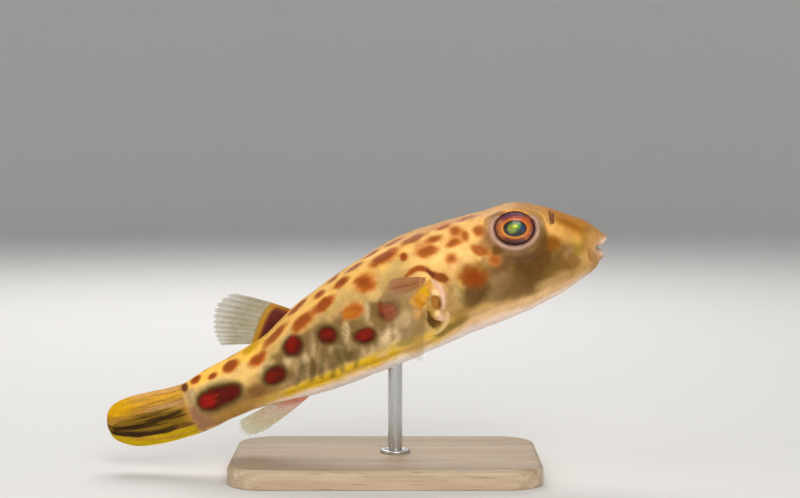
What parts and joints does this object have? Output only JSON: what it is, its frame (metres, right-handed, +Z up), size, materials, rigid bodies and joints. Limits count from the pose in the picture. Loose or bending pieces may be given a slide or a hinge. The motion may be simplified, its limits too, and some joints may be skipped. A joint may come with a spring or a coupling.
{
  "type": "freshwater pufferfish model",
  "caption": "Life-size still model of a young freshwater pufferfish with red-ringed spots, swimming nose-up on a flat wooden base with one steel rod.",
  "frame": {"origin": "on the floor, under the middle of the whole model's box", "axes": "+X towards the snout, +Y to the fish's left, +Z up"},
  "size_m": [0.1044, 0.042, 0.0562],
  "materials": {
    "skin": "moist scaleless skin, golden above and cream below with red-brown ringed spots, satin",
    "fin": "thin see-through fin skin on fine rays, moist",
    "eye": "wet polished eye, orange-brown iris and green-gold shine in the pupil",
    "nostril": "soft brown skin",
    "beak": "ivory tooth plates, smooth",
    "stand_wood": "pale ash, oiled satin",
    "stand_steel": "brushed"
  },
  "bodies": {
    "root": {"head": "skin", "lower_jaw": "skin", "trunk": "skin", "tail_stem": "skin", "caudal_fin": "skin", "dorsal_fin": "fin", "anal_fin": "fin", "pectoral_fin_left": "fin", "pectoral_fin_right": "fin", "eye_left": "eye", "eye_right": "eye", "nostril_left": "nostril", "nostril_right": "nostril", "stand_base": "stand_wood", "stand_rod": "stand_steel"}
  },
  "joints": []
}
